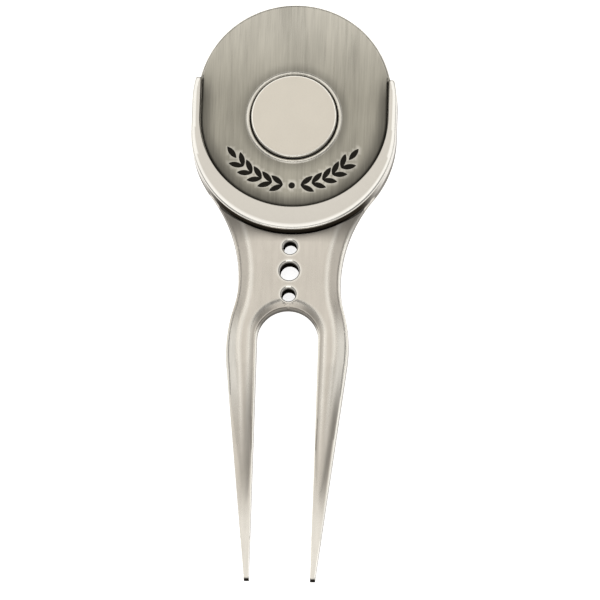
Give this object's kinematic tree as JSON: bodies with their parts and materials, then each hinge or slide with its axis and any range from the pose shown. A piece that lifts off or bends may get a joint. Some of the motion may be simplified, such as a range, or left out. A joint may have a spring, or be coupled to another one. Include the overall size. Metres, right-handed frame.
{
  "type": "divot repair tool",
  "caption": "Two-prong divot repair fork with a round cap clip that slides out of a crescent cradle, and a magnetic ball marker in its face.",
  "frame": {"origin": "on the resting plane, at the middle of the tool's length and width, with the tool lying on its back", "axes": "+X across the tool, +Y from the prong tips to the head, +Z out of the face with the ball marker"},
  "size_m": [0.0304, 0.0882, 0.0047],
  "materials": {
    "satin_nickel_casting": "satin",
    "polished_nickel": "polished",
    "rivet_steel": "satin",
    "antique_nickel": "satin",
    "spring_steel": "satin",
    "magnet_nickel": "polished",
    "pearl_nickel": "satin"
  },
  "bodies": {
    "fork": {"fork_body": "satin_nickel_casting", "cradle_rim": "polished_nickel", "rim_rivets": "rivet_steel"},
    "cap_clip": {"clip_plate": "antique_nickel", "clip_spring": "spring_steel", "spring_rivets": "rivet_steel", "marker_magnet": "magnet_nickel"},
    "marker": {"ball_marker": "pearl_nickel"}
  },
  "joints": [
    {"name": "clip_slide", "type": "slide", "parent": "fork", "child": "cap_clip", "axis": [0, 1, 0], "range_m": [0, 0.026]},
    {"name": "marker_lift", "type": "slide", "parent": "cap_clip", "child": "marker", "axis": [0, 0, 1], "range_m": [0, 0.01]}
  ]
}
